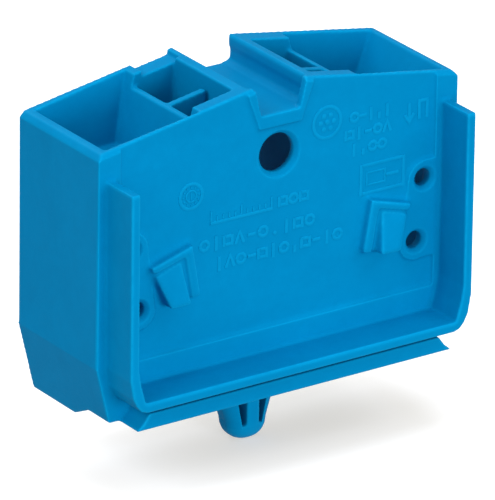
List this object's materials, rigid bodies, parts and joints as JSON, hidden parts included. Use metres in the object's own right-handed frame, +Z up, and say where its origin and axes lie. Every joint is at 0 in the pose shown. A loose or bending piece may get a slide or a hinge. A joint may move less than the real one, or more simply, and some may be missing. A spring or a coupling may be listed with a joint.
{
  "type": "terminal block",
  "caption": "Terminal block with wire funnels and spring cage clamps at each end, a rimmed front that nests into its neighbour, and a snap-in foot for a hole in a panel.",
  "frame": {"origin": "where the axis of the snap-in foot crosses the top of the panel, at the level of the housing's underside", "axes": "+X along the block from one pair of wire funnels to the other, +Y from the front wall and its rim to the open back, +Z up, away from the panel"},
  "size_m": [0.0302, 0.0132, 0.0281],
  "materials": {
    "housing_blue": "blue moulded polyamide, satin, with a fine spark-eroded grain",
    "tinned_copper": "electrolytic copper with a satin tin plate",
    "spring_steel": "bright rolled spring steel strip"
  },
  "bodies": {
    "housing": {"housing": "housing_blue", "current_bar": "tinned_copper", "clamp_spring_left_front": "spring_steel", "clamp_spring_left_rear": "spring_steel", "clamp_spring_right_front": "spring_steel", "clamp_spring_right_rear": "spring_steel"},
    "barb_left": {"foot_barb_left": "housing_blue"},
    "barb_right": {"foot_barb_right": "housing_blue"},
    "cage_left_front": {"clamp_cage_left_front": "spring_steel"},
    "cage_left_rear": {"clamp_cage_left_rear": "spring_steel"},
    "cage_right_front": {"clamp_cage_right_front": "spring_steel"},
    "cage_right_rear": {"clamp_cage_right_rear": "spring_steel"}
  },
  "joints": [
    {"name": "barb_flex_left", "type": "hinge", "parent": "housing", "child": "barb_left", "pos_m": [-0.00126, 0, -0.00345], "axis": [0, 1, 0], "range_deg": [0, 14], "stiffness_Nm_per_rad": 0.05},
    {"name": "barb_flex_right", "type": "hinge", "parent": "housing", "child": "barb_right", "pos_m": [0.00126, 0, -0.00345], "axis": [0, -1, 0], "range_deg": [0, 14], "stiffness_Nm_per_rad": 0.05},
    {"name": "clamp_open_left_front", "type": "hinge", "parent": "housing", "child": "cage_left_front", "pos_m": [-0.00595, -0.00135, 0.0145], "axis": [0, 1, 0], "range_deg": [0, 22], "stiffness_Nm_per_rad": 0.1},
    {"name": "clamp_open_left_rear", "type": "hinge", "parent": "housing", "child": "cage_left_rear", "pos_m": [-0.00595, 0.00225, 0.0145], "axis": [0, 1, 0], "range_deg": [0, 22], "stiffness_Nm_per_rad": 0.1},
    {"name": "clamp_open_right_front", "type": "hinge", "parent": "housing", "child": "cage_right_front", "pos_m": [0.00595, -0.00135, 0.0145], "axis": [0, -1, 0], "range_deg": [0, 22], "stiffness_Nm_per_rad": 0.1},
    {"name": "clamp_open_right_rear", "type": "hinge", "parent": "housing", "child": "cage_right_rear", "pos_m": [0.00595, 0.00225, 0.0145], "axis": [0, -1, 0], "range_deg": [0, 22], "stiffness_Nm_per_rad": 0.1}
  ]
}
